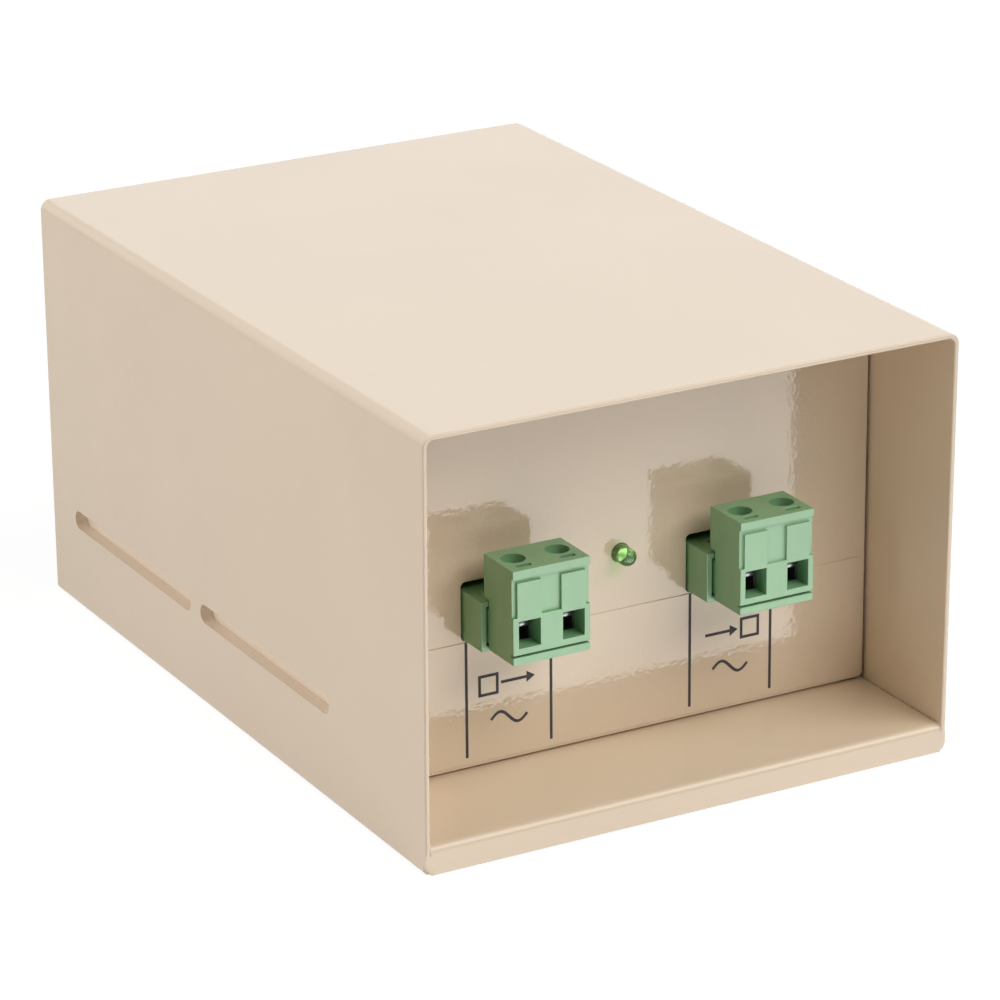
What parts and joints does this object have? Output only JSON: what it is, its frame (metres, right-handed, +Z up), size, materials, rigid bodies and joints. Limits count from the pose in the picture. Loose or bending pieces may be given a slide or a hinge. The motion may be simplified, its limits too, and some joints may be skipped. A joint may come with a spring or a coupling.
{
  "type": "outdoor power supply",
  "caption": "Small folded sheet-metal power supply with an overhanging hood, a recessed front panel, green pluggable screw terminals and a round status lamp.",
  "frame": {"origin": "middle of the bottom of the case", "axes": "+X to the right seen from the front, the open front towards -Y, +Z up"},
  "size_m": [0.093, 0.1354, 0.07],
  "materials": {
    "beige_paint": "smooth semi-gloss powder coat with a faint orange peel",
    "label_film": "thin glossy film, printed with plain lines",
    "green_plastic": "moulded polyamide, satin",
    "lamp_lens": "clear tinted epoxy",
    "tinned_brass": "tin plated",
    "zinc_steel": "bright zinc plated",
    "board_laminate": "green solder mask",
    "fuse_glass": "clear tube",
    "resistor_coat": "lacquered body",
    "diode_case": "moulded black case",
    "core_steel": "stacked laminations, varnished",
    "bobbin_plastic": "natural nylon",
    "winding_tape": "yellow insulating tape over copper wire",
    "primary_sleeve": "black insulated wire",
    "secondary_sleeve": "red insulated wire"
  },
  "bodies": {
    "case": {"outer_cover": "beige_paint", "floor_pan": "beige_paint", "chassis_tray": "beige_paint", "front_panel": "beige_paint", "front_label": "label_film", "chassis_screws": "zinc_steel", "chassis_nuts": "zinc_steel", "output_header": "green_plastic", "input_header": "green_plastic", "output_header_pins": "tinned_brass", "input_header_pins": "tinned_brass", "status_lamp": "lamp_lens", "status_lamp_leads": "tinned_brass", "circuit_board": "board_laminate", "board_standoffs": "zinc_steel", "board_screws": "zinc_steel", "fuse_tube": "fuse_glass", "fuse_caps": "tinned_brass", "fuse_clips": "tinned_brass", "dropper_resistor": "resistor_coat", "blocking_diode": "diode_case", "component_leads": "tinned_brass", "transformer_core": "core_steel", "transformer_bobbin": "bobbin_plastic", "primary_winding": "winding_tape", "secondary_winding": "winding_tape", "primary_leads": "primary_sleeve", "secondary_leads": "secondary_sleeve", "solder_tags": "tinned_brass", "transformer_bracket": "zinc_steel", "transformer_bolts": "zinc_steel", "transformer_nuts": "zinc_steel"},
    "output_plug": {"output_plug": "green_plastic", "output_plug_contacts": "tinned_brass"},
    "output_screw_left": {"output_screw_left": "zinc_steel"},
    "output_clamp_left": {"output_clamp_left": "tinned_brass"},
    "output_screw_right": {"output_screw_right": "zinc_steel"},
    "output_clamp_right": {"output_clamp_right": "tinned_brass"},
    "input_plug": {"input_plug": "green_plastic", "input_plug_contacts": "tinned_brass"},
    "input_screw_left": {"input_screw_left": "zinc_steel"},
    "input_clamp_left": {"input_clamp_left": "tinned_brass"},
    "input_screw_right": {"input_screw_right": "zinc_steel"},
    "input_clamp_right": {"input_clamp_right": "tinned_brass"}
  },
  "joints": [
    {"name": "output_plug_pull", "type": "slide", "parent": "case", "child": "output_plug", "axis": [0, -1, 0], "range_m": [0, 0.027]},
    {"name": "output_screw_left_turn", "type": "hinge", "parent": "output_plug", "child": "output_screw_left", "pos_m": [-0.02381, -0.0534, 0.0392], "axis": [0, 0, -1], "range_deg": [0, 1800]},
    {"name": "output_clamp_left_rise", "type": "slide", "parent": "output_plug", "child": "output_clamp_left", "axis": [0, 0, 1], "range_m": [0, 0.0025]},
    {"name": "output_screw_right_turn", "type": "hinge", "parent": "output_plug", "child": "output_screw_right", "pos_m": [-0.01619, -0.0534, 0.0392], "axis": [0, 0, -1], "range_deg": [0, 1800]},
    {"name": "output_clamp_right_rise", "type": "slide", "parent": "output_plug", "child": "output_clamp_right", "axis": [0, 0, 1], "range_m": [0, 0.0025]},
    {"name": "input_plug_pull", "type": "slide", "parent": "case", "child": "input_plug", "axis": [0, -1, 0], "range_m": [0, 0.027]},
    {"name": "input_screw_left_turn", "type": "hinge", "parent": "input_plug", "child": "input_screw_left", "pos_m": [0.01619, -0.0534, 0.0392], "axis": [0, 0, -1], "range_deg": [0, 1800]},
    {"name": "input_clamp_left_rise", "type": "slide", "parent": "input_plug", "child": "input_clamp_left", "axis": [0, 0, 1], "range_m": [0, 0.0025]},
    {"name": "input_screw_right_turn", "type": "hinge", "parent": "input_plug", "child": "input_screw_right", "pos_m": [0.02381, -0.0534, 0.0392], "axis": [0, 0, -1], "range_deg": [0, 1800]},
    {"name": "input_clamp_right_rise", "type": "slide", "parent": "input_plug", "child": "input_clamp_right", "axis": [0, 0, 1], "range_m": [0, 0.0025]}
  ],
  "couplings": [
    {"joint": "output_screw_left_turn", "follows": "output_clamp_left_rise", "rad_per_m": 12566},
    {"joint": "output_screw_right_turn", "follows": "output_clamp_right_rise", "rad_per_m": 12566},
    {"joint": "input_screw_left_turn", "follows": "input_clamp_left_rise", "rad_per_m": 12566},
    {"joint": "input_screw_right_turn", "follows": "input_clamp_right_rise", "rad_per_m": 12566}
  ]
}
